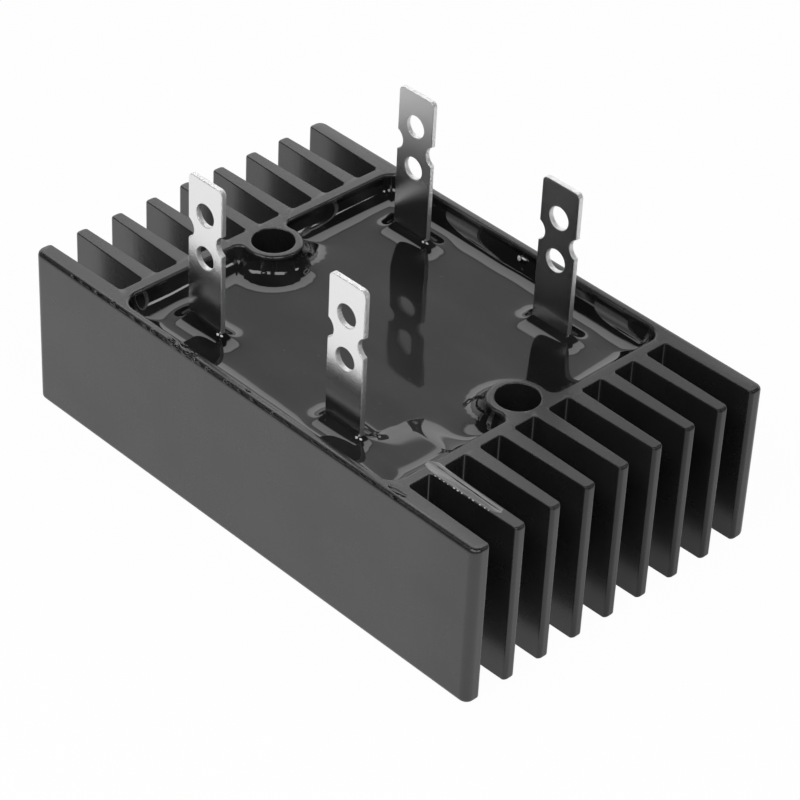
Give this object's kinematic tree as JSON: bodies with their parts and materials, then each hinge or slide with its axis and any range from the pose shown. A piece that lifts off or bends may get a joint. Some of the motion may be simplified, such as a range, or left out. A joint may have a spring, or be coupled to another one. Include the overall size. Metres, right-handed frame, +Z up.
{
  "type": "bridge rectifier",
  "caption": "Single-phase diode bridge potted in black epoxy in the well of a finned cast heatsink, with upright blade terminals and two mounting bosses.",
  "frame": {"origin": "centre of the overall box at the fins' lower edges", "axes": "+X along the fins, from the terminal ac_1 side to the terminal plus side; +Y across the fins, to the minus and ac_2 side; +Z up, out of the potted well"},
  "size_m": [0.085, 0.0526, 0.0445],
  "materials": {
    "black_anodised_casting": "black satin on die-cast aluminium",
    "black_epoxy": "cured glossy potting resin",
    "tinned_blade": "bright tinned stamping with grey sheared edges",
    "alumina": "matt sintered ceramic",
    "bond_adhesive": "filled silicone adhesive",
    "copper": "bare copper",
    "silicon": "polished silicon with a metallised top",
    "solder": "reflowed soft solder"
  },
  "bodies": {
    "root": {"heatsink": "black_anodised_casting", "potting": "black_epoxy", "terminal_ac_1": "tinned_blade", "terminal_plus": "tinned_blade", "terminal_minus": "tinned_blade", "terminal_ac_2": "tinned_blade", "insulator_front": "alumina", "bond_front": "bond_adhesive", "insulator_rear": "alumina", "bond_rear": "bond_adhesive", "pad_ac_1": "copper", "pad_plus": "copper", "pad_minus": "copper", "pad_ac_2": "copper", "diode_1": "silicon", "solder_under_1": "solder", "solder_over_1": "solder", "diode_2": "silicon", "solder_under_2": "solder", "solder_over_2": "solder", "diode_3": "silicon", "solder_under_3": "solder", "solder_over_3": "solder", "diode_4": "silicon", "solder_under_4": "solder", "solder_over_4": "solder", "strap_ac_1": "copper", "solder_strap_ac_1": "solder", "strap_ac_2": "copper", "solder_strap_ac_2": "solder", "strap_minus": "copper", "solder_strap_minus": "solder", "solder_foot_ac_1": "solder", "solder_foot_plus": "solder", "solder_foot_minus": "solder", "solder_foot_ac_2": "solder"}
  },
  "joints": []
}
